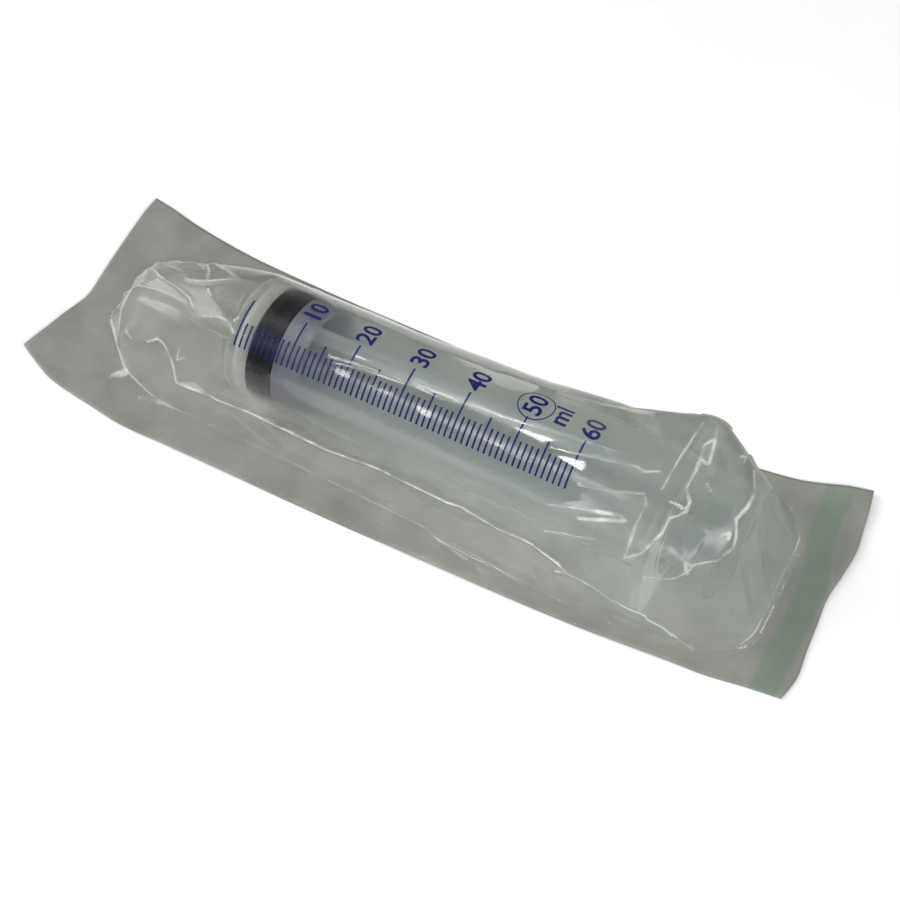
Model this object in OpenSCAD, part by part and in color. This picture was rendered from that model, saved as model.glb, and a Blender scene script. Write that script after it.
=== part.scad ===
// Large catheter tip syringe lying in its sealed, peel-open sterile pack.
// The syringe lies on its back along X, with its tip towards -X and its thumb plate towards +X.
// The origin is under the middle of the pack, on the face that lies on the table.
// The pack is a flat paper backing and a clear film that is formed over the syringe.

/* [Barrel] */
// Inner diameter of the barrel
bore_diameter = 29; // [24:0.5:32]
// Wall thickness of the barrel
barrel_wall = 1.1; // [0.8:0.1:1.6]
// Axial thickness of the wall that closes the barrel at the tip
end_wall = 2; // [1.5:0.1:3]
// Length of that wall's slope, from the barrel's edge to the root of the tip
shoulder_length = 4.5; // [3:0.5:7]
// Radius of the barrel's edge at the shoulder
shoulder_radius = 1.8; // [1:0.2:2.4]
// Length of the scale from the zero mark to the last mark
stroke_length = 90.8; // [70:0.1:100]
// Travel left between the last mark and the stop
stroke_spare = 3.6; // [2:0.1:6]
// Height of the stop bead inside the open end
bead_height = 0.4; // [0.3:0.05:0.6]
// Distance from the middle of the bead to the finger flange
bead_to_flange = 4.5; // [3:0.5:8]
// How far the barrel stands out behind the finger flange
barrel_lip = 0.6; // [0.3:0.1:2]

/* [Catheter tip] */
// Length of the tip in front of the shoulder
tip_length = 28.5; // [20:0.5:34]
// Outer diameter of the tip at its root
tip_root_diameter = 9.4; // [8:0.1:11]
// Outer diameter of the tip at its open end
tip_end_diameter = 5.8; // [5:0.1:7]
// Diameter of the channel through the tip
tip_bore_diameter = 2.8; // [2:0.1:3.6]
// Radius of the rounded edge at the open end
tip_edge = 0.6; // [0.3:0.1:1]

/* [Finger flange] */
// Width of the flange across both wings
flange_width = 46; // [42:1:54]
// Height of the flange between its flat sides
flange_height = 32; // [32:0.5:36]
// Thickness of the flange
flange_thickness = 2.4; // [1.6:0.1:3]
// Corner radius of the flange
flange_corner = 8.5; // [5:0.5:10]

/* [Piston] */
// Length of the rubber piston over its two sealing rings
piston_length = 7.7; // [6:0.1:12]
// Axial width of each sealing ring
ring_width = 3.3; // [2.4:0.1:3.5]
// Depth of the groove between the rings
groove_depth = 0.9; // [0.5:0.1:1.5]
// Running clearance of the rings in the barrel
ring_clearance = 0.05; // [0.02:0.01:0.1]
// Diameter of the blunt middle of the piston's face
face_diameter = 4; // [2:0.5:6]

/* [Plunger rod] */
// Length of the cupped head behind the piston
head_length = 6.6; // [5:0.1:10]
// Wall thickness of the cupped head
head_wall = 1.4; // [1:0.1:2]
// Clearance of the cupped head in the barrel
head_clearance = 0.2; // [0.15:0.01:0.25]
// Thickness of the crossed ribs
rib_thickness = 1.8; // [1.2:0.1:2.6]
// Clearance of the crossed ribs to the barrel
rib_clearance = 1.7; // [1.2:0.1:3]
// Diameter of the barbed stud that carries the piston
stud_diameter = 13; // [9:0.5:15]
// Length of the barbed stud
stud_length = 5; // [4:0.1:6]
// How far the barb stands out from the neck of the stud
barb_height = 1.5; // [0.8:0.1:2.2]
// Clearance between the stud and the piston
stud_clearance = 0.08; // [0.05:0.01:0.15]
// Diameter of the thumb plate
thumb_diameter = 31; // [28:0.5:32]
// Thickness of the thumb plate
thumb_thickness = 2; // [1.5:0.1:3]
// Finger room between barrel and thumb plate with the plunger pushed home
finger_room = 8; // [6:0.5:14]
// How far the plunger is drawn out of its home place in the pack
plunger_rest = 3.2; // [0:0.1:10]

/* [Pack] */
// Length of the pack beyond the end of the tip
tip_margin = 28.5; // [26:0.5:40]
// Length of the pack beyond the thumb plate
thumb_margin = 23.3; // [22:0.1:34]
// Width of the pack on each side beyond the finger flange
side_margin = 8.5; // [8:0.5:16]
// Bow of the pack: how far its ends lie to the far side of its middle
pack_bow = 7; // [0:0.5:8]
// Thickness of the paper backing
backing_thickness = 0.3; // [0.2:0.05:0.5]
// Thickness that stands for the thin clear film
film_thickness = 0.3; // [0.25:0.05:0.4]
// Gap between the film and the backing in the sealed rim
seal_gap = 0.1; // [0.05:0.05:0.2]
// Least clear distance between the film and the syringe
film_clearance = 0.6; // [0.5:0.05:1]
// Gap under the finger flange and the thumb plate
lying_clearance = 0.3; // [0.2:0.05:0.5]
// Width of the rim that stays sealed at the tip end
hinge_margin = 3; // [2:0.5:6]
// Room in the pocket in front of the tip
tip_room = 14.2; // [12:0.2:18]
// Radius of the film where it bends over the end of the tip
nose_radius = 8.5; // [6:0.5:10]
// Height of the film above the end of the tip
nose_room = 2.8; // [2:0.1:5]
// Room in the pocket behind the thumb plate, at the foot of its end wall
thumb_room = 12; // [11:0.5:16]
// Distance that the film runs on behind the thumb plate before it falls
thumb_play = 2.2; // [2.2:0.1:4]
// Room beside the barrel at the foot of the pocket's near wall
near_room = 6.6; // [6:0.1:8]
// Extra width of the pocket on its far side
far_extra = 5; // [3:0.5:6]
// Room beside the flange's near wing at the foot of the near wall
wing_room = 3; // [2.5:0.5:4]
// Length over which the film is pulled out from the barrel to the flange
tent_length = 55; // [40:1:70]
// Height of the long fold in the near wall
fold_height = 1; // [0:0.1:1.5]
// Height of the creases where the film is crumpled
crease_height = 0.8; // [0:0.1:1.2]

/* [Hidden] */

overrun = end_wall;

bore_radius = bore_diameter / 2;
barrel_radius = bore_radius + barrel_wall;
tip_root_radius = tip_root_diameter / 2;
tip_end_radius = tip_end_diameter / 2;
tip_bore_radius = tip_bore_diameter / 2;
shoulder_slope = shoulder_length / (barrel_radius - tip_root_radius);
inner_cone_length = (bore_radius - tip_bore_radius) * shoulder_slope;

// Places along the syringe, from the end of the tip to the thumb plate
bead_half_width = bead_height * 1.25;
home_to_bead = stroke_length + stroke_spare + piston_length + head_length;
tip_to_home = tip_length + shoulder_length + end_wall;
home_to_flange = home_to_bead + bead_half_width + bead_to_flange;
home_to_open_end = home_to_flange + flange_thickness + barrel_lip;
home_to_thumb = home_to_open_end + finger_room;
syringe_length = tip_to_home + home_to_thumb + plunger_rest + thumb_thickness;

pack_length = tip_margin + syringe_length + thumb_margin;
pack_width = flange_width + 2 * side_margin;

tip_x = -pack_length / 2 + tip_margin;
root_x = tip_x + tip_length;
shoulder_x = root_x + shoulder_length;
home_x = tip_x + tip_to_home;
bead_x = home_x + home_to_bead + bead_half_width;
flange_x = home_x + home_to_flange;
open_end_x = home_x + home_to_open_end;
piston_x = home_x + plunger_rest;
head_x = piston_x + piston_length;
thumb_x = home_x + home_to_thumb + plunger_rest;
thumb_end_x = thumb_x + thumb_thickness;

axis_y = -pack_bow / 2;
lying_radius = max(flange_height / 2, thumb_diameter / 2, barrel_radius);
axis_z = backing_thickness + lying_clearance + lying_radius;

// Piston and plunger radii
ring_radius = bore_radius - ring_clearance;
groove_radius = ring_radius - groove_depth;
ring_edge = ring_width / 8;
stud_radius = stud_diameter / 2;
neck_radius = stud_radius - barb_height;
neck_length = stud_length * 0.4;
head_radius = bore_radius - head_clearance;
rib_half_width = bore_radius - rib_clearance;
thumb_radius = thumb_diameter / 2;
thumb_edge = thumb_thickness / 2;

// Film pocket
film_cover = film_clearance + film_thickness;
rim_z = backing_thickness + seal_gap + film_thickness;
film_left = -pack_length / 2 + hinge_margin;
film_right = pack_length / 2;
pocket_left = tip_x - tip_room;
pocket_right = thumb_end_x + thumb_room;
tent_start_x = flange_x - tent_length;
flange_front_x = flange_x - film_clearance;
flange_back_x = flange_x + flange_thickness + film_clearance;
wall_top_x = thumb_end_x + thumb_play;

near_foot = barrel_radius + near_room;
far_foot = near_foot + far_extra;
wing_foot = flange_width / 2 + wing_room;

// Width of the pocket's foot at its two ends, as shares of its width over the barrel
nose_start_shares = [0.22, 0.32];
nose_end_shares = [0.74, 0.83];
end_shares = [0.75, 0.74];
// Radius of the film there, as a share of its near half width
end_roundness = 0.8;

wall_steps = 4;
over_steps = 18;
front_steps = 4;
nose_steps = 6;
run_steps = 4;
tent_steps = 6;
fall_steps = 3;
end_steps = 5;
edge_steps = 24;

$fn = 96;

// Arc of a profile, from one angle to another, as points of radius and place
function arc(centre, radius, from_angle, to_angle, steps) = [
    for (i = [0 : steps])
        let (angle = from_angle + (to_angle - from_angle) * i / steps)
        centre + radius * [cos(angle), sin(angle)]
];

// Puts a shape drawn along Z on the syringe's axis, starting at one place along it
module along_axis(start_x) {
    translate([start_x, axis_y, axis_z])
        rotate([0, 90, 0])
            children();
}

module rounded_rectangle(size_x, size_y, radius) {
    square([size_x - 2 * radius, size_y], center = true);
    square([size_x, size_y - 2 * radius], center = true);
    for (side_x = [-1, 1], side_y = [-1, 1])
        translate([side_x * (size_x / 2 - radius), side_y * (size_y / 2 - radius)])
            circle(r = radius, $fn = 48);
}

// Barrel

barrel_outline = concat(
    [[0, 0]],
    arc([tip_end_radius - tip_edge, tip_edge], tip_edge, -90, 0, 4),
    [[tip_root_radius, tip_length]],
    arc(
        [barrel_radius - shoulder_radius, tip_length + shoulder_length + shoulder_radius / 2],
        shoulder_radius, -60, 0, 5
    ),
    [[barrel_radius, open_end_x - tip_x], [0, open_end_x - tip_x]]
);

barrel_hollow = concat(
    [[0, -overrun], [tip_bore_radius, -overrun]],
    [[tip_bore_radius, tip_to_home - inner_cone_length]],
    [[bore_radius, tip_to_home]],
    [[bore_radius, bead_x - tip_x - bead_half_width]],
    [[bore_radius - bead_height, bead_x - tip_x]],
    [[bore_radius, bead_x - tip_x + bead_half_width]],
    [[bore_radius, open_end_x - tip_x + overrun], [0, open_end_x - tip_x + overrun]]
);

module finger_flange() {
    along_axis(flange_x)
        linear_extrude(flange_thickness)
            rounded_rectangle(flange_height, flange_width, flange_corner);
}

module barrel() {
    color([0.86, 0.89, 0.88, 0.5])
        difference() {
            union() {
                along_axis(tip_x)
                    rotate_extrude()
                        polygon(barrel_outline);
                finger_flange();
            }
            along_axis(tip_x)
                rotate_extrude()
                    polygon(barrel_hollow);
        }
}

// Plunger rod: barbed stud, cupped head, crossed ribs and thumb plate

stud_outline = [
    [0, -stud_length],
    [stud_radius - barb_height, -stud_length],
    [stud_radius, -neck_length - barb_height / 2],
    [stud_radius, -neck_length],
    [neck_radius, -neck_length],
    [neck_radius, head_wall],
    [0, head_wall]
];

cup_outline = [
    [0, 0],
    [head_radius, 0],
    [head_radius, head_length],
    [head_radius - head_wall, head_length],
    [head_radius - head_wall, head_wall],
    [0, head_wall]
];

thumb_outline = concat(
    [[0, 0]],
    arc([thumb_radius - thumb_edge, thumb_edge], thumb_edge, -90, 90, 8),
    [[0, thumb_thickness]]
);

module crossed_ribs() {
    rib_start_x = head_x + head_wall / 2;
    along_axis(rib_start_x)
        linear_extrude(thumb_x + thumb_thickness / 2 - rib_start_x) {
            square([2 * rib_half_width, rib_thickness], center = true);
            square([rib_thickness, 2 * rib_half_width], center = true);
        }
}

module plunger_rod() {
    color([0.78, 0.79, 0.84])
        union() {
            along_axis(head_x)
                rotate_extrude()
                    polygon(stud_outline);
            along_axis(head_x)
                rotate_extrude()
                    polygon(cup_outline);
            crossed_ribs();
            along_axis(thumb_x)
                rotate_extrude()
                    polygon(thumb_outline);
        }
}

// Piston: a blunt cone, two sealing rings and an undercut pocket that snaps on the stud

face_radius = face_diameter / 2;
face_length = (groove_radius - face_radius) * shoulder_slope;

piston_outline = [
    [0, -face_length],
    [face_radius, -face_length],
    [groove_radius, 0],
    [ring_radius, ring_edge],
    [ring_radius, ring_width - ring_edge],
    [groove_radius, ring_width],
    [groove_radius, piston_length - ring_width],
    [ring_radius, piston_length - ring_width + ring_edge],
    [ring_radius, piston_length - ring_edge],
    [groove_radius, piston_length],
    [0, piston_length]
];

piston_pocket = [
    [0, piston_length - stud_length - stud_clearance],
    [stud_radius - barb_height + stud_clearance, piston_length - stud_length - stud_clearance],
    [stud_radius + stud_clearance, piston_length - neck_length - barb_height / 2],
    [stud_radius + stud_clearance, piston_length - neck_length + stud_clearance],
    [neck_radius + stud_clearance, piston_length - neck_length + stud_clearance],
    [neck_radius + stud_clearance, piston_length + overrun],
    [0, piston_length + overrun]
];

module piston() {
    color([0.16, 0.16, 0.18])
        difference() {
            along_axis(piston_x)
                rotate_extrude()
                    polygon(piston_outline);
            along_axis(piston_x)
                rotate_extrude()
                    polygon(piston_pocket);
        }
}

// Outline of the pack: film and paper are cut together, and lie a little bowed

function pack_middle(x) = -pack_bow / 2 + pack_bow * pow(2 * x / pack_length, 2);

function near_edge(x) = pack_middle(x) - pack_width / 2;

function far_edge(x) = pack_middle(x) + pack_width / 2;

function mix(from, to, share) = from * (1 - share) + to * share;

// Film: one sheet, flat in the sealed rim and pulled taut over the syringe

// The film goes from a foot to a round corner: the angle round that corner where it arrives
function arrival_angle(foot, gap, middle, radius) =
    let (
        across = foot - gap,
        down = rim_z - middle
    )
    atan2(down, across) + acos(radius / max(norm([across, down]), radius));

// Place on the film over two round corners with a flat between them, at a length from the far wall
function over_point(length, far_angle, gap, middle, radius) =
    let (corner = (90 - far_angle) * PI * radius / 180)
    length < corner
        ? [gap, middle] + radius * [cos(far_angle + length / corner * (90 - far_angle)),
                                    sin(far_angle + length / corner * (90 - far_angle))]
        : length < corner + 2 * gap
            ? [gap - (length - corner), middle + radius]
            : let (turn = (length - corner - 2 * gap) / radius * 180 / PI)
              [-gap, middle] + radius * [-sin(turn), cos(turn)];

// Section of the film, from its far foot to its near foot, as points across the syringe and up
function taut(gap, middle, radius, near, far) =
    let (
        far_angle = arrival_angle(far, gap, middle, radius),
        near_angle = arrival_angle(near, gap, middle, radius),
        over_length = (180 - far_angle - near_angle) * PI * radius / 180 + 2 * gap,
        far_top = over_point(0, far_angle, gap, middle, radius),
        near_top = over_point(over_length, far_angle, gap, middle, radius)
    )
    concat(
        [for (i = [0 : wall_steps - 1]) mix([far, rim_z], far_top, i / wall_steps)],
        [for (i = [0 : over_steps]) over_point(over_length * i / over_steps, far_angle, gap, middle, radius)],
        [for (i = [1 : wall_steps]) mix(near_top, [-near, rim_z], i / wall_steps)]
    );

// Forms that the film takes: half gap between its corners, their middle, radius, near foot and far foot
over_nose = [
    0, axis_z + tip_end_radius + nose_room - nose_radius, nose_radius,
    near_foot * nose_end_shares[0], far_foot * nose_end_shares[1]
];
before_nose = [
    0, over_nose[1], near_foot * nose_start_shares[0] * end_roundness,
    near_foot * nose_start_shares[0], far_foot * nose_start_shares[1]
];
over_barrel = [0, axis_z, barrel_radius + film_cover, near_foot, far_foot];
over_flange = [
    flange_width / 2 - flange_corner, axis_z + flange_height / 2 - flange_corner, flange_corner + film_cover,
    wing_foot, max(wing_foot, far_foot)
];
over_thumb = [0, axis_z, max(thumb_radius, barrel_radius) + film_cover, near_foot, far_foot];
past_thumb = [
    0, axis_z, near_foot * end_shares[0] * end_roundness,
    near_foot * end_shares[0], far_foot * end_shares[1]
];

// Each station is a place along X, how far the film is lifted there, how crumpled it is, and its form
film_stations = concat(
    [[film_left, 0, 0, before_nose]],
    [
        for (i = [0 : front_steps])
            let (share = i / front_steps)
            [mix(pocket_left, tip_x, share), sin(90 * share), sin(180 * share), mix(before_nose, over_nose, share)]
    ],
    [
        for (i = [1 : nose_steps])
            let (share = i / nose_steps)
            [mix(tip_x, shoulder_x, share), 1, 1 - share, mix(over_nose, over_barrel, share)]
    ],
    [
        for (i = [1 : run_steps])
            [mix(shoulder_x, tent_start_x, i / run_steps), 1, 0, over_barrel]
    ],
    [
        for (i = [1 : tent_steps])
            let (share = i / tent_steps)
            [mix(tent_start_x, flange_front_x, share), 1, share * (1 - share), mix(over_barrel, over_flange, share)]
    ],
    [[flange_back_x, 1, 0, over_flange]],
    [
        for (i = [1 : fall_steps])
            let (share = i / fall_steps)
            [mix(flange_back_x, wall_top_x, share), 1, 1, mix(over_flange, over_thumb, share)]
    ],
    [
        for (i = [1 : end_steps])
            let (share = i / end_steps)
            [mix(wall_top_x, pocket_right, share), 1 - pow(share, 1.4), 1 - share, mix(over_thumb, past_thumb, share)]
    ],
    [[film_right, 0, 0, past_thumb]]
);

// Folds and creases stand out of the taut film: one long fold in the near wall, and broken ones where it is crumpled
first_near_wall = wall_steps + over_steps;
fold_place = first_near_wall + wall_steps / 2;
golden_turn = 137.5;
// Greatest height of a crease, as a share of the distance between its feet
crease_share = 0.16;

function crease(station, i, j, spacing) =
    let (
        on_pocket = j > 0 && j < first_near_wall + wall_steps,
        fold = j == fold_place && station[0] > tip_x && station[0] < flange_x ? fold_height : 0,
        height = min(crease_height, spacing * crease_share) * station[2],
        broken = height * (1 + sin(golden_turn * (7 * i + 11 * j))) / 2
    )
    on_pocket ? max(fold, broken) : 0;

// One row of the sheet across the pack: far edge, the taut film over the syringe, near edge
function film_row(station, i) =
    let (
        section = taut(station[3][0], station[3][1], station[3][2], station[3][3], station[3][4]),
        last = len(section) - 1
    )
    concat(
        [[station[0], far_edge(station[0]), rim_z]],
        [
            for (j = [0 : last])
                let (
                    along = section[min(j + 1, last)] - section[max(j - 1, 0)],
                    spacing = norm(along),
                    out = [along[1], -along[0]] / spacing,
                    point = section[j] + crease(station, i, j, spacing) * out
                )
                [station[0], axis_y + point[0], rim_z + (point[1] - rim_z) * station[1]]
        ],
        [[station[0], near_edge(station[0]), rim_z]]
    );

film_top = [for (i = [0 : len(film_stations) - 1]) film_row(film_stations[i], i)];
rows = len(film_top);
columns = len(film_top[0]);

// Direction that faces out of the sheet at one of its points
function film_normal(i, j) =
    let (
        along = film_top[min(i + 1, rows - 1)][j] - film_top[max(i - 1, 0)][j],
        across = film_top[i][max(j - 1, 0)] - film_top[i][min(j + 1, columns - 1)],
        normal = cross(along, across)
    )
    normal / norm(normal);

function film_under(i, j) =
    (j == 0 || j == columns - 1)
        ? film_top[i][j] - [0, 0, film_thickness]
        : film_top[i][j] - film_thickness * film_normal(i, j);

function quad(a, b, c, d) = [[a, b, c], [a, c, d]];

module film_sheet() {
    top = [for (i = [0 : rows - 1], j = [0 : columns - 1]) film_top[i][j]];
    under = [for (i = [0 : rows - 1], j = [0 : columns - 1]) film_under(i, j)];
    lower = rows * columns;
    last_i = rows - 1;
    last_j = columns - 1;
    skins = [
        for (i = [0 : last_i - 1], j = [0 : last_j - 1])
            let (
                a = i * columns + j,
                b = a + columns
            )
            each concat(
                quad(a, b, b + 1, a + 1),
                quad(lower + a, lower + a + 1, lower + b + 1, lower + b)
            )
    ];
    ends = [
        for (j = [0 : last_j - 1])
            let (
                a = j,
                b = last_i * columns + j
            )
            each concat(
                quad(a, a + 1, lower + a + 1, lower + a),
                quad(b + 1, b, lower + b, lower + b + 1)
            )
    ];
    sides = [
        for (i = [0 : last_i - 1])
            let (
                a = i * columns,
                b = i * columns + last_j
            )
            each concat(
                quad(a + columns, a, lower + a, lower + a + columns),
                quad(b, b + columns, lower + b + columns, lower + b)
            )
    ];
    polyhedron(points = concat(top, under), faces = concat(skins, ends, sides));
}

module pack_film() {
    color([0.75, 0.8, 0.78, 0.35])
        film_sheet();
}

// Paper backing

module pack_backing() {
    edge_x = [for (i = [0 : edge_steps]) mix(-pack_length / 2, pack_length / 2, i / edge_steps)];
    color([0.6, 0.63, 0.6])
        linear_extrude(backing_thickness)
            polygon(concat(
                [for (x = edge_x) [x, near_edge(x)]],
                [for (i = [edge_steps : -1 : 0]) [edge_x[i], far_edge(edge_x[i])]]
            ));
}

barrel();
plunger_rod();
piston();
pack_film();
pack_backing();
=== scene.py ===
import math

import bmesh
import bpy
import numpy as np
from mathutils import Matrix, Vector
from mathutils.geometry import delaunay_2d_cdt


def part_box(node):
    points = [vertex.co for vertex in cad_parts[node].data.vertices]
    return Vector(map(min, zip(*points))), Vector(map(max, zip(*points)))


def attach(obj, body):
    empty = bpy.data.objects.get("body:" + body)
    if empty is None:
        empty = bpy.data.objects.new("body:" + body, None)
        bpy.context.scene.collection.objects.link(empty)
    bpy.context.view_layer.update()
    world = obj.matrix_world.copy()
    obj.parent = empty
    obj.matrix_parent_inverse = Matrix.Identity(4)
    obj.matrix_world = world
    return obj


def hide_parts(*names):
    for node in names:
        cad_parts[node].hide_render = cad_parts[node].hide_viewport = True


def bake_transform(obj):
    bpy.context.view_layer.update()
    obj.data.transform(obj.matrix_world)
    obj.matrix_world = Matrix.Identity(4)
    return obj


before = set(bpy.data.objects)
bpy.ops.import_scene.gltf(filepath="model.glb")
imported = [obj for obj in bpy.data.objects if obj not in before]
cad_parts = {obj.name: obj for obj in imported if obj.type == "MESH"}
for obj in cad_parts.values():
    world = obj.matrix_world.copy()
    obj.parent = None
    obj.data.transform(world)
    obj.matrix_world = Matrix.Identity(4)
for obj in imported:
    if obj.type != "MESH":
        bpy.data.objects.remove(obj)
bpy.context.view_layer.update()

# Barrel
# One injection moulding of natural polypropylene: tube, sloping end wall, catheter tip and finger flange.
# The milky plastic is clear where something touches it and blurs what lies further in.

MM = 0.001
low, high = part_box("barrel")
tip_x = low.x / MM
axis_y = (low.y + high.y) / 2 / MM
axis_z = (low.z + high.z) / 2 / MM
barrel_radius = 15.6


def linear(hex_code):
    """Linear light of an sRGB colour written as hex, with full alpha."""
    shares = [int(hex_code[i:i + 2], 16) / 255 for i in (1, 3, 5)]
    return [*(s / 12.92 if s <= 0.04045 else ((s + 0.055) / 1.055) ** 2.4 for s in shares), 1]


def material(name):
    made = bpy.data.materials.new(name)
    made.use_nodes = True
    made.node_tree.nodes.clear()
    return made


def add(made, kind, inputs=None, **settings):
    """Adds one node to a material; an input is a value or another node's output socket."""
    node = made.node_tree.nodes.new(kind)
    for name, value in settings.items():
        setattr(node, name, value)
    for name, value in (inputs or {}).items():
        if isinstance(value, bpy.types.NodeSocket):
            made.node_tree.links.new(value, node.inputs[name])
        else:
            node.inputs[name].default_value = value
    return node


def dress(piece, finish):
    piece.data.materials.clear()
    piece.data.materials.append(finish)


milky = material("polypropylene_moulded_clear")
place = add(milky, "ShaderNodeTexCoord").outputs["Object"]
# Flow of the melt along the wall, 9 mm across, too faint to see as a pattern
flow = add(milky, "ShaderNodeTexNoise", {
    "Vector": place, "Scale": 1 / (9 * MM), "Detail": 2.0}).outputs["Fac"]
wall_bump = add(milky, "ShaderNodeBump", {"Height": flow, "Strength": 0.04, "Distance": 0.4 * MM})
plastic = add(milky, "ShaderNodeBsdfPrincipled", {
    "Base Color": linear("#fcfcfb"), "Roughness": 0.5, "IOR": 1.1, "Transmission Weight": 1.0,
    "Coat Weight": 0.5, "Coat Roughness": 0.2, "Coat IOR": 1.49, "Normal": wall_bump.outputs[0],
})
# The thin wall lets the lamps' light straight through
lamps_through = add(milky, "ShaderNodeBsdfTransparent", {"Color": linear("#fbfcfc")})
shadow_ray = add(milky, "ShaderNodeLightPath").outputs["Is Shadow Ray"]
shown = add(milky, "ShaderNodeMixShader", {0: shadow_ray, 1: plastic.outputs[0], 2: lamps_through.outputs[0]})
add(milky, "ShaderNodeOutputMaterial", {"Surface": shown.outputs[0]})
dress(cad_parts["barrel"], milky)

# Printed scale
# Blue-violet ink, screen printed round the barrel: a mark each millilitre, longer ones each 5 and 10,
# and numbers that read up round the barrel with their tops towards the tip.

tip_to_home = 35.0
home_x = tip_x + tip_to_home
full_ml = 60
ml_length = 90.8 / full_ml
ink_radius = barrel_radius + 0.03
mark_width = 0.5
# Angles round the barrel, up from its nearest side: foot of every mark, tops of the marks, numbers
mark_foot = 40.1
ten_top, five_top, one_top = 85.9, 71.9, 63.1
number_angle = 101.0
number_shift = 0.3


def wrap(points, x_shift=0.0):
    """Puts flat points, along the barrel and round it from its nearest side, on its surface in metres."""
    wrapped = []
    for along, round_it in points:
        angle = round_it / ink_radius
        wrapped.append((
            (x_shift + along) * MM,
            (axis_y - ink_radius * math.cos(angle)) * MM,
            (axis_z + ink_radius * math.sin(angle)) * MM,
        ))
    return wrapped


def new_piece(name, vertices, faces, smooth=True):
    mesh = bpy.data.meshes.new(name)
    mesh.from_pydata(vertices, [], faces)
    mesh.update()
    piece = bpy.data.objects.new(name, mesh)
    bpy.context.scene.collection.objects.link(piece)
    for face in mesh.polygons:
        face.use_smooth = smooth
    return piece


def degrees_round(angle):
    return math.radians(angle) * ink_radius


mark_points, mark_faces = [], []
mark_steps = 14
for ml in range(full_ml + 1):
    top = ten_top if ml % 10 == 0 else five_top if ml % 5 == 0 else one_top
    start, stop = degrees_round(mark_foot), degrees_round(top)
    x = home_x + ml * ml_length
    for step in range(mark_steps + 1):
        height = start + (stop - start) * step / mark_steps
        mark_points += [(x - mark_width / 2, height), (x + mark_width / 2, height)]
        if step:
            last = len(mark_points) - 1
            mark_faces.append((last - 3, last - 2, last, last - 1))
marks = new_piece("scale_marks", wrap(mark_points), mark_faces)


def written(name, words, size, x, angle):
    """Words as a mesh on the barrel, tops towards the tip, middle at x and at that angle round it."""
    curve = bpy.data.curves.new(name, "FONT")
    curve.body = words
    curve.size = size
    curve.align_x = "CENTER"
    curve.align_y = "CENTER"
    curve.resolution_u = 6
    curve.offset = 0.02 * size
    flat = bpy.data.objects.new(name, curve)
    bpy.context.scene.collection.objects.link(flat)
    bpy.context.view_layer.update()
    mesh = bpy.data.meshes.new_from_object(flat.evaluated_get(bpy.context.evaluated_depsgraph_get()))
    bpy.data.objects.remove(flat)
    bpy.data.curves.remove(curve)
    # Cuts every tenth of the size let the flat letters bend round the barrel
    sculpt = bmesh.new()
    sculpt.from_mesh(mesh)
    for step in range(-12, 13):
        cut = step * size / 10
        for normal in ((1, 0, 0), (0, 1, 0)):
            geometry = sculpt.verts[:] + sculpt.edges[:] + sculpt.faces[:]
            bmesh.ops.bisect_plane(
                sculpt, geom=geometry, plane_co=[cut * n for n in normal], plane_no=normal, dist=1e-5)
    flat_points = [(-vertex.co.y, degrees_round(angle) + vertex.co.x) for vertex in sculpt.verts]
    sculpt.verts.index_update()
    faces = [[vertex.index for vertex in face.verts] for face in sculpt.faces]
    sculpt.free()
    bpy.data.meshes.remove(mesh)
    return new_piece(name, wrap(flat_points, x), faces)


print_pieces = [marks]
for ml in range(10, full_ml + 1, 10):
    number_x = home_x + ml * ml_length + number_shift
    print_pieces.append(written(f"scale_number_{ml}", str(ml), 6.6, number_x, number_angle))
print_pieces.append(written("scale_unit_ml", "ml", 6.4, home_x + 54.7 * ml_length, number_angle))

ring_points, ring_faces = [], []
ring_steps = 64
ring_x = home_x + 50 * ml_length + number_shift
for step in range(ring_steps):
    turn = 2 * math.pi * step / ring_steps
    for radius in (4.35, 4.65):
        round_it = degrees_round(number_angle) + radius * math.sin(turn)
        ring_points.append((ring_x + radius * math.cos(turn), round_it))
    a, b = 2 * step, 2 * ((step + 1) % ring_steps)
    ring_faces.append((a, a + 1, b + 1, b))
print_pieces.append(new_piece("scale_ring_50", wrap(ring_points), ring_faces))

ink = material("screen_ink_violet_blue")
place = add(ink, "ShaderNodeTexCoord").outputs["Object"]
# Ink thins a little where the screen lifts, in spots of 0.5 mm
thin = add(ink, "ShaderNodeTexNoise", {
    "Vector": place, "Scale": 1 / (0.5 * MM), "Detail": 3.0}).outputs["Fac"]
shade = add(ink, "ShaderNodeMix", {0: thin, 6: linear("#151450"), 7: linear("#1d1c66")}, data_type="RGBA")
body = add(ink, "ShaderNodeBsdfPrincipled", {
    "Base Color": shade.outputs[2], "Roughness": 0.5, "Specular IOR Level": 0.2,
})
add(ink, "ShaderNodeOutputMaterial", {"Surface": body.outputs[0]})
for piece in print_pieces:
    dress(piece, ink)
    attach(piece, "syringe")

# Piston
# Black synthetic rubber, compression moulded, wiped with silicone oil, snapped on the plunger rod's stud.

rubber = material("rubber_moulded_oiled")
place = add(rubber, "ShaderNodeTexCoord").outputs["Object"]
# Moulded grain of 0.4 mm, under a film of oil
grain = add(rubber, "ShaderNodeTexNoise", {
    "Vector": place, "Scale": 1 / (0.4 * MM), "Detail": 4.0}).outputs["Fac"]
shade = add(rubber, "ShaderNodeMix", {0: grain, 6: linear("#07080d"), 7: linear("#0d0e15")}, data_type="RGBA")
skin = add(rubber, "ShaderNodeBump", {"Height": grain, "Strength": 0.1, "Distance": 0.05 * MM})
body = add(rubber, "ShaderNodeBsdfPrincipled", {
    "Base Color": shade.outputs[2], "Roughness": 0.4, "Specular IOR Level": 0.06, "Normal": skin.outputs[0],
})
add(rubber, "ShaderNodeOutputMaterial", {"Surface": body.outputs[0]})
dress(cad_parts["piston"], rubber)

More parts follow.
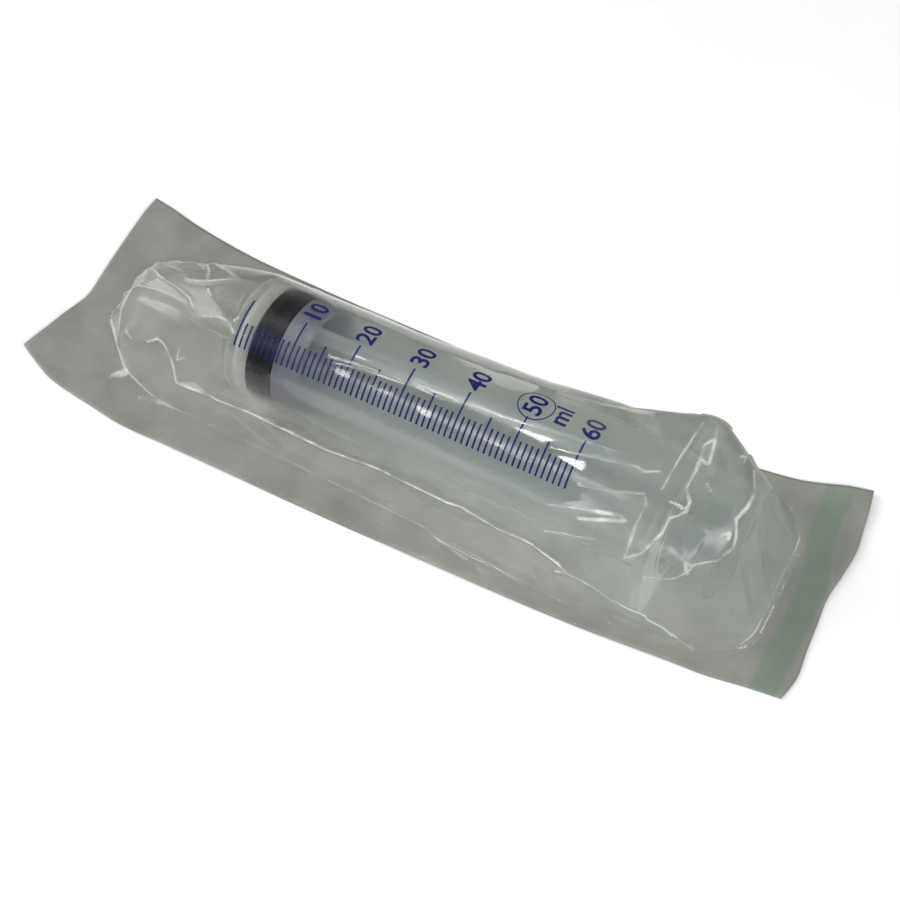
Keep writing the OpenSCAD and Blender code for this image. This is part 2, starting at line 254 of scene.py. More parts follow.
# Plunger rod
# One injection moulding of natural polypropylene, less clear than the barrel: barbed stud, cupped head,
# crossed ribs and thumb plate.

rod = material("polypropylene_moulded_satin")
place = add(rod, "ShaderNodeTexCoord").outputs["Object"]
along = add(rod, "ShaderNodeSeparateXYZ", {0: place}).outputs[0]
# The head, 7 mm long, is thicker than the ribs behind it and greyest round its outside
behind_head = add(rod, "ShaderNodeMapRange", {
    "Value": along, "From Min": (home_x + 17.3) * MM, "From Max": (home_x + 18.5) * MM,
}).outputs[0]
crosswise = add(rod, "ShaderNodeVectorMath", {0: place, 1: (0, 1, 1)}, operation="MULTIPLY").outputs[0]
from_axis = add(rod, "ShaderNodeVectorMath", {
    0: crosswise, 1: (0, axis_y * MM, axis_z * MM)}, operation="DISTANCE").outputs["Value"]
hollow = add(rod, "ShaderNodeMapRange", {
    "Value": from_axis, "From Min": 13.2 * MM, "From Max": 13.8 * MM, "To Min": 1.0, "To Max": 0.0,
}).outputs[0]
pale_share = add(rod, "ShaderNodeMath", {0: behind_head, 1: hollow}, operation="MAXIMUM").outputs[0]
# Inside the head's cup a darker grey is painted shade; the ribs behind the head keep their pale grey
ribs_and_painted_cup_shade = add(rod, "ShaderNodeMix", {
    0: behind_head, 6: linear("#8c919a"), 7: linear("#b4babd")}, data_type="RGBA").outputs[2]
shade = add(rod, "ShaderNodeMix", {0: pale_share, 6: linear("#5a5a65"), 7: ribs_and_painted_cup_shade}, data_type="RGBA")
# Fine spark-eroded texture of the mould, 0.3 mm
spark = add(rod, "ShaderNodeTexNoise", {
    "Vector": place, "Scale": 1 / (0.3 * MM), "Detail": 3.0}).outputs["Fac"]
skin = add(rod, "ShaderNodeBump", {"Height": spark, "Strength": 0.08, "Distance": 0.05 * MM})
body = add(rod, "ShaderNodeBsdfPrincipled", {
    "Base Color": shade.outputs[2], "Roughness": 0.38, "IOR": 1.49, "Normal": skin.outputs[0],
})
# The thin ribs let most of what lies behind them show, the head less
behind = add(rod, "ShaderNodeBsdfTransparent", {"Color": linear("#eef0ef")})
in_head = add(rod, "ShaderNodeMapRange", {"Value": hollow, "To Min": 0.8, "To Max": 0.45}).outputs[0]
opaque = add(rod, "ShaderNodeMapRange", {"Value": behind_head, "To Min": in_head, "To Max": 0.2}).outputs[0]
seen = add(rod, "ShaderNodeMixShader", {0: opaque, 1: behind.outputs[0], 2: body.outputs[0]})
shadow_ray = add(rod, "ShaderNodeLightPath").outputs["Is Shadow Ray"]
shown = add(rod, "ShaderNodeMixShader", {0: shadow_ray, 1: seen.outputs[0], 2: behind.outputs[0]})
add(rod, "ShaderNodeOutputMaterial", {"Surface": shown.outputs[0]})
dress(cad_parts["plunger_rod"], rod)

# Paper backing
# Coated medical paper, cut with the film in one blow and sealed to it all round, with a green band
# printed near the peel end.

low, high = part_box("pack_backing")
left_x, right_x = low.x / MM, high.x / MM


def curve_through(pairs):
    """Function that runs smoothly through pairs of place and value."""
    places = np.array([pair[0] for pair in pairs], float)
    values = np.array([pair[1] for pair in pairs], float)
    slopes = np.gradient(values, places)

    def value(at):
        at = np.clip(np.asarray(at, float), places[0], places[-1])
        i = np.clip(np.searchsorted(places, at) - 1, 0, len(places) - 2)
        gap = places[i + 1] - places[i]
        t = (at - places[i]) / gap
        return (
            values[i] * (2 * t**3 - 3 * t**2 + 1) + slopes[i] * gap * (t**3 - 2 * t**2 + t)
            + values[i + 1] * (3 * t**2 - 2 * t**3) + slopes[i + 1] * gap * (t**3 - t**2)
        )

    return value


# Edges of the pack, from the syringe's axis
near_edge = curve_through([
    (-109, -22.3), (-106.5, -23.6), (-102, -25.7), (-97.3, -27.8), (-91.2, -29.1), (-88, -29.6), (-80, -30.6),
    (-74.6, -31.4), (-57, -31.6), (-33, -31.5), (2, -31.2), (35, -30.6),
    (66, -29.2), (81, -27.9), (91, -27.1), (100, -25.6), (109, -24.4),
])
far_edge = curve_through([
    (-109, 38), (-90, 34.7), (-75, 32.7), (-48, 31.3), (-20, 31), (20, 30.8), (60, 31), (81, 32.3),
    (91, 33.9), (101, 37.1), (109, 38.9),
])
left_edge = curve_through([
    (-29, -0.4), (-22.5, -0.3), (-19.8, 0.2), (-14.6, 1.3), (-9.4, 2.3), (-3.9, 3.6), (-1.3, 4.1), (1.1, 4.1),
    (5.6, 3.4), (10.2, 2.7), (19.5, 1.4), (29.2, 0.3), (38, 0.1),
])
right_edge = curve_through([
    (-25, 0.4), (-18, 1.8), (-10, 1.2), (-4, 0.9), (5, 0.4), (13, 1.4), (20, 2.0), (27, 1.3), (34, 0.4),
    (39, -0.5),
])


def pack_place(along, across):
    """Place in mm of a point of the flat pack; both shares run from -1 to 1, across from the near edge."""
    x = np.where(along < 0, -along * left_x, along * right_x)
    share = (across + 1) / 2
    y = near_edge(x) * (1 - share) + far_edge(x) * share
    x = x + left_edge(y) * np.clip(-along * 6 - 5, 0, 1) ** 2
    x = x + right_edge(y) * np.clip(along * 8 - 7, 0, 1) ** 2
    return x, y


def paper_lift(x, y):
    """Height of the paper's top over the table: flat under the syringe, waved and curled at its rim."""
    rim = np.clip((np.abs(y - 2.5) - 26) / 9, 0, 1)
    rim = rim + np.clip((-x - 92) / 16, 0, 1) + np.clip((x - 98) / 10, 0, 1)
    waves = 0.5 + 0.3 * np.sin(x / 9.5 + 0.6 * np.sin(y / 13)) + 0.3 * np.sin(x / 23 + y / 17 + 1.0)
    return 0.3 + np.clip(rim, 0, 1.4) ** 1.5 * np.clip(waves, 0.05, 1.2) * 1.1


def grid_faces(rows, columns, shift=0):
    corners = [shift + i * columns + j for i in range(rows - 1) for j in range(columns - 1)]
    return [(corner, corner + columns, corner + columns + 1, corner + 1) for corner in corners]


paper_thickness = 0.28
rows, columns = 220, 68
along, across = np.meshgrid(np.linspace(-1, 1, rows), np.linspace(1, -1, columns), indexing="ij")
x, y = pack_place(along, across)
top = paper_lift(x, y)
points = [
    (px * MM, (axis_y + py) * MM, pz * MM)
    for height in (top, top - paper_thickness) for px, py, pz in zip(x.ravel(), y.ravel(), height.ravel())
]
under = rows * columns
faces = [face[::-1] for face in grid_faces(rows, columns)] + grid_faces(rows, columns, under)
rim_loop = (
    [(i, 0) for i in range(rows)] + [(rows - 1, j) for j in range(1, columns)]
    + [(i, columns - 1) for i in range(rows - 2, -1, -1)] + [(0, j) for j in range(columns - 2, 0, -1)]
)
for (i, j), (k, m) in zip(rim_loop, rim_loop[1:] + rim_loop[:1]):
    a, b = i * columns + j, k * columns + m
    faces.append((a, b, under + b, under + a))
paper = new_piece("paper_backing", points, faces)

stock = material("medical_paper_coated")
place = add(stock, "ShaderNodeTexCoord").outputs["Object"]
# Clouds of fibre, 14 mm, and single fibres, 0.6 mm, drawn coarser than they are so that they show
clouds = add(stock, "ShaderNodeTexNoise", {
    "Vector": place, "Scale": 1 / (14 * MM), "Detail": 3.0}).outputs["Fac"]
fibres = add(stock, "ShaderNodeTexNoise", {
    "Vector": place, "Scale": 1 / (0.6 * MM), "Detail": 2.0}).outputs["Fac"]
shade = add(stock, "ShaderNodeMix", {0: clouds, 6: linear("#70726e"), 7: linear("#a1a29d")}, data_type="RGBA")
flecked = add(stock, "ShaderNodeMix", {
    0: fibres, 6: linear("#e6e6e4"), 7: linear("#ffffff")}, data_type="RGBA").outputs[2]
toned = add(stock, "ShaderNodeMix", {
    0: 1.0, 6: shade.outputs[2], 7: flecked}, data_type="RGBA", blend_type="MULTIPLY").outputs[2]
# Green band, 6 mm wide at the very end, its inner edge uneven by 3 mm and askew by 4 mm
axes = add(stock, "ShaderNodeSeparateXYZ", {0: place}).outputs
wander = add(stock, "ShaderNodeTexNoise", {
    "Vector": place, "Scale": 1 / (11 * MM), "Detail": 1.0}).outputs["Fac"]
uneven = add(stock, "ShaderNodeMath", {
    0: wander, 1: 3.0 * MM, 2: axes[0]}, operation="MULTIPLY_ADD").outputs[0]
askew = add(stock, "ShaderNodeMapRange", {
    "Value": axes[1], "From Min": 2 * MM, "From Max": 24 * MM, "To Max": 4.0 * MM,
}).outputs[0]
shifted = add(stock, "ShaderNodeMath", {0: uneven, 1: askew}, operation="ADD").outputs[0]
starts = add(stock, "ShaderNodeMapRange", {
    "Value": shifted, "From Min": (right_x - 6.4) * MM, "From Max": (right_x - 5.2) * MM,
}).outputs[0]
ends = add(stock, "ShaderNodeMapRange", {
    "Value": shifted, "From Min": (right_x + 0.4) * MM, "From Max": (right_x + 1.2) * MM,
    "To Min": 1.0, "To Max": 0.0,
}).outputs[0]
band = add(stock, "ShaderNodeMath", {0: starts, 1: ends}, operation="MULTIPLY").outputs[0]
printed = add(stock, "ShaderNodeMath", {0: band, 1: 0.47}, operation="MULTIPLY").outputs[0]
tinted = add(stock, "ShaderNodeMix", {0: printed, 6: toned, 7: linear("#637a6c")}, data_type="RGBA")
tooth = add(stock, "ShaderNodeBump", {"Height": fibres, "Strength": 0.12, "Distance": 0.05 * MM})
body = add(stock, "ShaderNodeBsdfPrincipled", {
    "Base Color": tinted.outputs[2], "Roughness": 0.6, "IOR": 1.45, "Normal": tooth.outputs[0],
})
add(stock, "ShaderNodeOutputMaterial", {"Surface": body.outputs[0]})
dress(paper, stock)
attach(paper, "pack")
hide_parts("pack_backing")

# Pack film
# Clear film of two layers, drawn warm into a shallow pocket and pulled taut over the syringe when it
# was sealed. It bridges from the barrel to the wings of the flange, and creases where it was pressed.

barrel_height = 16.6
foot_x, end_x = -94.0, 97.0
shoulder_x = tip_x + 33.0
flange_x = home_x + 113.7
thumb_x = home_x + 127.9

# Each section of the film runs over two round corners. Along the syringe: place, share of the full
# height, half the gap between the corners, height of their middles, radius, near foot and far foot.
film_profile = np.array([
    # x, lift, gap, middle, radius, near, far
    (left_x, 0.00, 0.0, 12.0, 2.0, 21.0, 26.0),
    (foot_x - 0.4, 0.00, 0.0, 12.0, 2.5, 3.4, 7.0),
    (foot_x + 2.5, 0.30, 0.0, 12.0, 5.0, 5.8, 12.0),
    (foot_x + 8.0, 0.78, 0.0, 13.0, 7.5, 11.0, 19.5),
    (tip_x, 1.00, 0.0, 13.8, 8.5, 16.5, 22.5),
    (tip_x + 10, 1.00, 0.0, 14.8, 11.5, 20.0, 24.5),
    (tip_x + 24, 1.00, 0.0, 16.0, 14.8, 22.0, 26.5),
    (shoulder_x, 1.00, 0.0, 16.6, 16.3, 22.2, 27.2),
    (shoulder_x + 10, 1.00, 0.0, 16.6, 16.35, 22.2, 27.2),
    (0.0, 1.00, 0.0, 16.6, 16.35, 22.6, 27.2),
    (18.0, 1.00, 1.2, 17.2, 15.8, 23.8, 27.2),
    (36.0, 1.00, 2.6, 17.9, 15.3, 24.6, 27.2),
    (50.0, 1.00, 5.2, 19.2, 13.9, 25.2, 27.2),
    (57.0, 1.00, 8.6, 20.9, 12.1, 25.6, 27.2),
    (63.0, 1.00, 11.8, 22.6, 10.5, 25.8, 27.3),
    (flange_x - 0.6, 1.00, 14.5, 24.1, 8.75, 26.0, 27.4),
    (flange_x + 3.0, 1.00, 14.5, 24.1, 8.75, 26.0, 27.4),
    (76.0, 1.00, 10.8, 22.2, 10.8, 25.0, 27.3),
    (79.6, 1.00, 7.4, 20.3, 12.4, 24.0, 27.2),
    (thumb_x + 0.6, 1.00, 1.6, 17.4, 15.4, 22.6, 27.2),
    (thumb_x + 2.6, 1.00, 0.0, 16.6, 16.2, 21.8, 26.8),
    (thumb_x + 5.2, 0.88, 0.0, 16.6, 16.0, 20.8, 26.0),
    (thumb_x + 10.0, 0.40, 0.0, 16.6, 15.5, 18.5, 23.0),
    (end_x, 0.00, 0.0, 16.6, 13.3, 16.5, 20.0),
    (right_x, 0.00, 0.0, 16.6, 13.3, 21.0, 26.0),
])


def smoothed(values, passes):
    for _ in range(passes):
        values[1:-1] = values[1:-1] / 2 + (values[:-2] + values[2:]) / 4
    return values


def taut_section(gap, middle, radius, near, far, rim, columns):
    """Film pulled over two round corners, from its far foot to its near foot, as points across and up."""
    wall, over = columns
    points = []
    ends = []
    for side, foot in ((1, far), (-1, near)):
        across, up = foot - gap, rim - middle
        reach = max(math.hypot(across, up), radius * 1.001)
        angle = math.atan2(up, across) + math.acos(radius / reach)
        ends.append(angle)
    far_angle, near_angle = ends
    touch = (gap + radius * math.cos(far_angle), middle + radius * math.sin(far_angle))
    for i in range(wall):
        share = i / wall
        points.append((far + (touch[0] - far) * share, rim + (touch[1] - rim) * share))
    far_corner, near_corner = (radius * (math.pi / 2 - angle) for angle in ends)
    for i in range(over + 1):
        length = (far_corner + 2 * gap + near_corner) * i / over
        if length < far_corner:
            angle = far_angle + length / radius
            points.append((gap + radius * math.cos(angle), middle + radius * math.sin(angle)))
        elif length < far_corner + 2 * gap:
            points.append((gap + far_corner - length, middle + radius))
        else:
            turn = (length - far_corner - 2 * gap) / radius
            points.append((-gap - radius * math.sin(turn), middle + radius * math.cos(turn)))
    touch = (-gap - radius * math.cos(near_angle), middle + radius * math.sin(near_angle))
    for i in range(wall):
        share = (i + 1) / wall
        points.append((touch[0] + (-near - touch[0]) * share, touch[1] + (rim - touch[1]) * share))
    return points


rim_z = 0.7
# Rows lie closer where the pocket rises, 30 mm over its whole height
profile_gaps = np.hypot(np.diff(film_profile[:, 0]), 30 * np.diff(film_profile[:, 1]))
profile_at = np.concatenate([[0], np.cumsum(profile_gaps)])
film_rows = 640
profile_places = np.linspace(0, profile_at[-1], film_rows)
stations = np.stack([np.interp(profile_places, profile_at, film_profile[:, k]) for k in range(7)], axis=1)
for k in range(7):
    smoothed(stations[:, k], 10)
wall_columns, over_columns, rim_columns = 58, 106, 12
film_grid = []
for station_x, lift, gap, middle, radius, near, far in stations:
    arch = np.array(taut_section(gap, middle, radius, near, far, rim_z, (wall_columns, over_columns)))
    arch[:, 1] = rim_z + (arch[:, 1] - rim_z) * lift
    far_rim = far_edge(station_x)
    near_rim = near_edge(station_x)
    row = [(far_rim + (arch[0, 0] - far_rim) * i / rim_columns, rim_z) for i in range(rim_columns)]
    row += [tuple(point) for point in arch]
    near_foot = arch[-1, 0]
    row += [(near_foot + (near_rim - near_foot) * (i + 1) / rim_columns, rim_z) for i in range(rim_columns)]
    film_grid.append([(station_x, y, z) for y, z in row])
film_grid = np.array(film_grid)
film_columns = film_grid.shape[1]

end_warp = np.clip((-film_grid[..., 0] - 90) / 18, 0, 1) ** 2 * left_edge(film_grid[..., 1])
end_warp += np.clip((film_grid[..., 0] - 95) / 13.5, 0, 1) ** 2 * right_edge(film_grid[..., 1])
film_grid[..., 0] += end_warp
film_grid[..., 2] += paper_lift(film_grid[..., 0], film_grid[..., 1]) - 0.3

# Creases, as place along the syringe, hundredths of the way across the film from its far edge, and
# height in mm. Each lies where the photograph shows a bright line, with flat facets between them.
creases = [
    # Long fold down the near wall, from a loop in front of the shoulder
    [(-71.9, 79.3, 0.8), (-68.4, 76, 0.9), (-66, 76.4, 0.8), (-63.6, 78.5, 0.9), (-61.6, 81.7, 1),
     (-60.6, 85.4, 0.9), (-51, 83.3, 0.9), (-36.8, 82.1, 1), (-15.5, 83.2, 0.9), (-2.6, 81.7, 1),
     (19.4, 81.7, 1), (23.1, 80.9, 1), (33.1, 82.1, 0.9), (42.3, 81.3, 0.9), (48.3, 82.5, 1),
     (54, 84.1, 0.9), (61.1, 83.7, 0.8), (68.5, 85.4, 0.8), (72.7, 85.4, 0.8), (78, 88.2, 0.8),
     (83.1, 93.9, 0.7), (85.9, 95.9, 0.4)],
    [(50, 85.8, 0.8), (54, 84.1, 0.9), (50.3, 82.9, 0.6)],
    # Edge of the seal
    [(-71.8, 96.3, 0.4), (-61.3, 94.7, 0.7), (-53.3, 93.1, 0.8), (-22.3, 93.3, 0.7), (-0.6, 93.9, 0.8),
     (14.6, 93.1, 0.8), (18.3, 95.3, 0.8), (27.1, 96.3, 0.5)],
    [(19.5, 93.5, 0.6), (26.3, 93.9, 0.8), (34.8, 94.8, 1), (42, 95.9, 0.6)],
    # Loop round the end of the tip
    [(-63.4, 58.9, 0.2), (-74.6, 57.3, 0.4), (-79.3, 58.1, 0.9), (-81.6, 60.2, 0.8), (-84.2, 71.5, 0.7),
     (-85.2, 87, 0.8), (-84, 92.7, 0.9), (-81, 94.3, 0.8), (-79, 95.5, 0.7), (-82.3, 96.7, 0.5),
     (-80.2, 95.4, 0.7)],
    [(-80.4, 80.9, 1), (-78.4, 82.5, 0.6)],
    [(-61, 74.8, 0.3), (-61.5, 78.9, 0.5), (-58.6, 76.4, 0.4)],
    # Folds over the tip
    [(-84, 30, 0.5), (-81, 28.5, 0.6), (-78.5, 29, 0.6), (-75.4, 33.7, 0.8), (-72, 38.2, 0.8),
     (-70.1, 36.2, 0.7), (-67.3, 38.2, 0.7), (-63.8, 42.3, 0.7)],
    [(-84, 30, 0.5), (-80.5, 33.7, 0.7), (-76.7, 39.4, 0.5), (-72.6, 43.1, 0.5), (-65.1, 49.6, 0.8),
     (-60.2, 49.2, 0.9), (-51.8, 45.5, 0.9), (-57.9, 41.9, 0.9), (-63.5, 36.6, 0.9), (-64, 39.8, 0.8),
     (-61.8, 43.1, 0.7), (-59.5, 48.4, 0.8)],
    [(-57.8, 51.6, 0.7), (-55.8, 53.7, 0.4)],
    [(-83, 41, 0.4), (-79.2, 44.3, 0.7), (-74.3, 50.4, 0.8), (-70, 52.8, 0.8), (-61.7, 56.5, 0.6),
     (-58.8, 59.8, 0.5)],
    [(-55.1, 60.6, 0.4), (-51.8, 58.9, 0.5), (-48.5, 58.5, 0.9), (-46.1, 59.8, 0.8), (-45.3, 61, 0.5)],
    # Line along the crown of the barrel
    [(-18.7, 56.5, 0.8), (-13.9, 55.7, 0.6), (1.8, 54.7, 0.5), (24.3, 54.1, 0.6), (39.2, 52.8, 0.6),
     (54.9, 50.8, 0.5)],
    # Fan of folds from the barrel to the flange
    [(34.8, 41.1, 0.3), (44.8, 40.2, 0.6), (49.6, 39.4, 0.8), (57.2, 39, 1)],
    [(39.2, 56.5, 0.4), (46.8, 55.3, 0.5), (60.1, 52.4, 0.7), (62.1, 52.8, 0.7), (65, 51.2, 0.6)],
    [(44.7, 68.3, 0.6), (50.2, 66.3, 0.9), (54.1, 65, 1), (61.9, 63, 1), (64, 63.4, 0.9), (59, 65, 1),
     (53, 67.5, 0.8)],
    [(45.2, 76, 0.5), (51.9, 72.8, 0.5), (58.3, 69.5, 0.4)],
    # Ridge over the front edge of the flange
    [(68.1, 37.4, 0.6), (67.7, 42.3, 0.6), (67.3, 48, 0.6), (67.3, 54.5, 0.4)],
    # Broken ridge behind the flange, and the face it bounds
    [(69.3, 35.8, 0.8), (71.4, 36.6, 0.8), (72.5, 39.4, 0.9), (74.1, 45.5, 0.9), (71.7, 45.1, 1),
     (72.1, 48, 0.9), (72.1, 52, 0.8), (74.5, 54.9, 0.9), (74.9, 57.3, 0.9), (72.1, 59.3, 0.8),
     (72.2, 62.6, 0.8), (71, 65, 0.9), (69.7, 67.5, 0.9), (66.4, 69.5, 0.8), (66.4, 65.9, 0.7),
     (65.8, 58.5, 0.7), (64.5, 57.3, 0.8), (57.6, 59.8, 0.7), (50.4, 61.4, 0.6)],
    [(72.5, 39.4, 0.9), (70.9, 41.9, 0.8), (71.7, 45.1, 1)],
    [(70.5, 56.1, 0.9), (72.5, 56.1, 0.9), (74.9, 56.9, 0.7)],
    [(75.8, 49.6, 0.7), (77.5, 50.4, 0.5)],
    # Rim of the thumb plate and the folds round it
    [(83.2, 37.4, 0.7), (85.9, 43.9, 0.8), (85.9, 49.2, 0.9), (85.1, 53.7, 0.8), (86.5, 57.3, 0.8),
     (86.7, 59.8, 0.8), (84.9, 65, 0.7), (80.6, 66.7, 0.8), (77.8, 70.3, 0.5), (71.7, 72, 0.4)],
    [(83.6, 58.9, 1), (85.1, 57.3, 1), (85.2, 58.9, 1)],
    [(80.6, 66.7, 0.9), (78.5, 66.3, 1), (79.7, 68.7, 0.8)],
    [(79.4, 39.4, 0.6), (80.2, 38.2, 0.7), (80.6, 39.4, 0.5)],
    # End of the pocket
    [(91.5, 4.5, 0.3), (94.4, 9.8, 0.4), (96.4, 13.8, 0.5), (96.8, 26.4, 0.6), (96.4, 41.9, 0.7),
     (96.6, 52.8, 0.7), (96.7, 64.6, 0.7), (96.1, 78, 0.5), (95.1, 89.4, 0.4)],
]
chance = np.random.default_rng(23)
across_mm = 1.1
spots, edges = [], []
for crease in creases:
    for k, (place_x, across_share, rise) in enumerate(crease):
        if k:
            edges.append((len(spots) - 1, len(spots)))
        spots.append((place_x, across_share * across_mm, rise))
# Slack film between the creases: how far apart its facets' corners are, and how deep they go
zones = [
    # from x, to x, from across, to across, spacing, depth, mean
    (-94, -46, 8, 92, 9.0, 0.75, -0.35),
    (-46, 52, 30, 70, 16.0, 0.12, -0.08),
    (-46, 52, 6, 30, 13.0, 0.45, -0.2),
    (-46, 52, 70, 94, 13.0, 0.4, -0.35),
    (52, 98, 8, 92, 7.5, 0.7, -0.3),
]
for x_from, x_to, from_across, to_across, spacing, depth, mean in zones:
    for zone_x in np.arange(x_from, x_to, spacing):
        for zone_across in np.arange(from_across * across_mm, to_across * across_mm, spacing):
            spot = (
                zone_x + spacing * chance.uniform(0.1, 0.9), zone_across + spacing * chance.uniform(0.1, 0.9),
                mean + depth * chance.uniform(-1, 1),
            )
            if min(math.hypot(spot[0] - other[0], spot[1] - other[1]) for other in spots) > spacing * 0.42:
                spots.append(spot)
for corner_x in np.linspace(-112, 112, 15):
    spots += [(corner_x, -2, 0), (corner_x, 112, 0)]
for corner_y in np.linspace(8, 100, 8):
    spots += [(-112, corner_y, 0), (-98, corner_y, 0), (101, corner_y, 0), (112, corner_y, 0)]
flat_corners = [Vector(spot[:2]) for spot in spots]
flat_spots, _, facets, sources, _, _ = delaunay_2d_cdt(flat_corners, edges, [], 0, 1e-4)
rises = []
for spot, source in zip(flat_spots, sources):
    # A corner that the triangulation added, where two creases cross, takes the rise of its neighbour
    gaps = [(other[0] - spot.x) ** 2 + (other[1] - spot.y) ** 2 for other in spots]
    rises.append(spots[source[0] if source else gaps.index(min(gaps))][2])
sheet_x = np.repeat(stations[:, :1], film_columns, axis=1)
sheet_y = np.repeat(np.linspace(0, 100 * across_mm, film_columns)[None], film_rows, axis=0)
rise_map = np.zeros(sheet_x.shape)
for facet in facets:
    (ax, ay), (bx, by), (cx, cy) = (flat_spots[n] for n in facet)
    double_area = (bx - ax) * (cy - ay) - (cx - ax) * (by - ay)
    if abs(double_area) < 1e-9:
        continue
    i_from, i_to = np.searchsorted(stations[:, 0], (min(ax, bx, cx), max(ax, bx, cx)))
    j_from, j_to = np.searchsorted(sheet_y[0], (min(ay, by, cy), max(ay, by, cy)))
    part = (slice(i_from, i_to + 1), slice(j_from, j_to + 1))
    px, py = sheet_x[part], sheet_y[part]
    b_share = ((px - ax) * (cy - ay) - (cx - ax) * (py - ay)) / double_area
    c_share = ((bx - ax) * (py - ay) - (px - ax) * (by - ay)) / double_area
    inside = (b_share >= -1e-6) & (c_share >= -1e-6) & (b_share + c_share <= 1 + 1e-6)
    ra, rb, rc = (rises[n] for n in facet)
    rise_map[part] = np.where(inside, ra + b_share * (rb - ra) + c_share * (rc - ra), rise_map[part])
# Along each drawn crease the film is bent sharply, in a ridge 2 mm wide, and a narrower band along its crest
# holds a painted glint
ridge = np.zeros(sheet_x.shape)
painted_glint = np.zeros(sheet_x.shape)
for start, end in edges:
    (ax, ay, rise_a), (bx, by, rise_b) = spots[start], spots[end]
    i_from, i_to = np.searchsorted(stations[:, 0], (min(ax, bx) - 2, max(ax, bx) + 2))
    part = (slice(i_from, i_to), slice(None))
    px, py = sheet_x[part], sheet_y[part]
    share = np.clip(((px - ax) * (bx - ax) + (py - ay) * (by - ay)) / ((bx - ax) ** 2 + (by - ay) ** 2), 0, 1)
    off = np.hypot(px - ax - share * (bx - ax), py - ay - share * (by - ay))
    rise = rise_a + share * (rise_b - rise_a)
    glint_width = 0.16 + 0.24 * rise
    ridge[part] = np.maximum(ridge[part], 0.55 * rise * np.clip(1 - off / 1.1, 0, 1))
    painted_glint[part] = np.maximum(painted_glint[part], rise * np.clip(1.2 - off / glint_width, 0, 1))
rise_map += ridge
# The flange and the thumb plate hold the film up
for held_x in (flange_x + 1.2, thumb_x + 1.2):
    rise_map = np.where(np.abs(sheet_x - held_x) < 4, np.clip(rise_map, -0.05, 0.4), rise_map)
rise_map[:, 1:-1] = rise_map[:, 1:-1] / 2 + (rise_map[:, :-2] + rise_map[:, 2:]) / 4
# The seal holds the film flat round the pocket
held = np.clip((film_grid[..., 2] - rim_z) / 2.5, 0.12, 1)
facing = -np.cross(np.gradient(film_grid, axis=0), np.gradient(film_grid, axis=1))
facing /= np.linalg.norm(facing, axis=2, keepdims=True) + 1e-9
film_grid = film_grid + facing * (rise_map * held)[..., None]
# The film rests on the barrel and never dips into it
film_radius = barrel_radius + 0.5
out = np.hypot(film_grid[..., 1], film_grid[..., 2] - barrel_height)
near_barrel = (film_grid[..., 0] > shoulder_x - 1) & (film_grid[..., 0] < flange_x) & (out < film_radius)
push = np.where(near_barrel, film_radius / out, 1.0)
film_grid[..., 1] *= push
film_grid[..., 2] = barrel_height + (film_grid[..., 2] - barrel_height) * push

vertices = [(px * MM, (axis_y + py) * MM, pz * MM) for px, py, pz in film_grid.reshape(-1, 3)]
film = new_piece("film_pocket", vertices, [face[::-1] for face in grid_faces(film_rows, film_columns)])
# The painted glint goes into the film as its crease attribute
film.data.attributes.new("crease", "FLOAT", "POINT").data.foreach_set("value", painted_glint.ravel())
# The film is slack over the tip, round the flange and on the far side of the bridge to it
slack = np.clip((-44 - sheet_x) / 8, 0, 1) + np.clip((sheet_x - 50) / 8, 0, 1)
slack += np.clip((sheet_x - 34) / 8, 0, 1) * np.clip((50 * across_mm - sheet_y) / 8, 0, 1)
film.data.attributes.new("slack", "FLOAT", "POINT").data.foreach_set("value", (slack * held).ravel())

clear = material("film_clear_drawn")
see_through = add(clear, "ShaderNodeBsdfTransparent", {"Color": linear("#fafbf9")})
mirror = add(clear, "ShaderNodeFresnel", {"IOR": 1.45}).outputs[0]
slack_share = add(clear, "ShaderNodeAttribute", attribute_name="slack").outputs["Fac"]
spread = add(clear, "ShaderNodeMapRange", {"Value": slack_share, "To Min": 0.08, "To Max": 0.28}).outputs[0]
sheen = add(clear, "ShaderNodeBsdfGlossy", {"Color": linear("#ffffff"), "Roughness": spread})
mirrored = add(clear, "ShaderNodeMixShader", {0: mirror, 1: see_through.outputs[0], 2: sheen.outputs[0]})
# Where it lies slack its many small dents make the film hazy
haze_share = add(clear, "ShaderNodeMath", {0: slack_share, 1: 0.3}, operation="MULTIPLY").outputs[0]
haze = add(clear, "ShaderNodeBsdfDiffuse", {"Color": linear("#848981")})
dented = add(clear, "ShaderNodeMixShader", {0: haze_share, 1: mirrored.outputs[0], 2: haze.outputs[0]})
# Painted glints: white lines along the sharp creases, breaking off every few millimetres, stand in for the
# lamps mirrored in them
place = add(clear, "ShaderNodeTexCoord").outputs["Object"]
breaks = add(clear, "ShaderNodeTexNoise", {
    "Vector": place, "Scale": 1 / (6 * MM), "Detail": 2.0}).outputs["Fac"]
kept = add(clear, "ShaderNodeMapRange", {
    "Value": breaks, "From Min": 0.38, "From Max": 0.6, "To Min": 0.15, "To Max": 0.8,
}).outputs[0]
glint_lines = add(clear, "ShaderNodeAttribute", attribute_name="crease").outputs["Fac"]
glint_share = add(clear, "ShaderNodeMath", {0: glint_lines, 1: kept}, operation="MULTIPLY").outputs[0]
glint_white = add(clear, "ShaderNodeBsdfDiffuse", {"Color": linear("#e9ece6")})
with_glints = add(clear, "ShaderNodeMixShader", {0: glint_share, 1: dented.outputs[0], 2: glint_white.outputs[0]})
shadow_ray = add(clear, "ShaderNodeLightPath").outputs["Is Shadow Ray"]
shown = add(clear, "ShaderNodeMixShader", {0: shadow_ray, 1: with_glints.outputs[0], 2: see_through.outputs[0]})
add(clear, "ShaderNodeOutputMaterial", {"Surface": shown.outputs[0]})
dress(film, clear)
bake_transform(film)
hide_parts("pack_film")

# Studio
# A plain pale table, soft light from two large lamps at the sides, small strips and spots that the
# film and the barrel mirror, and a camera where the photograph was taken from.

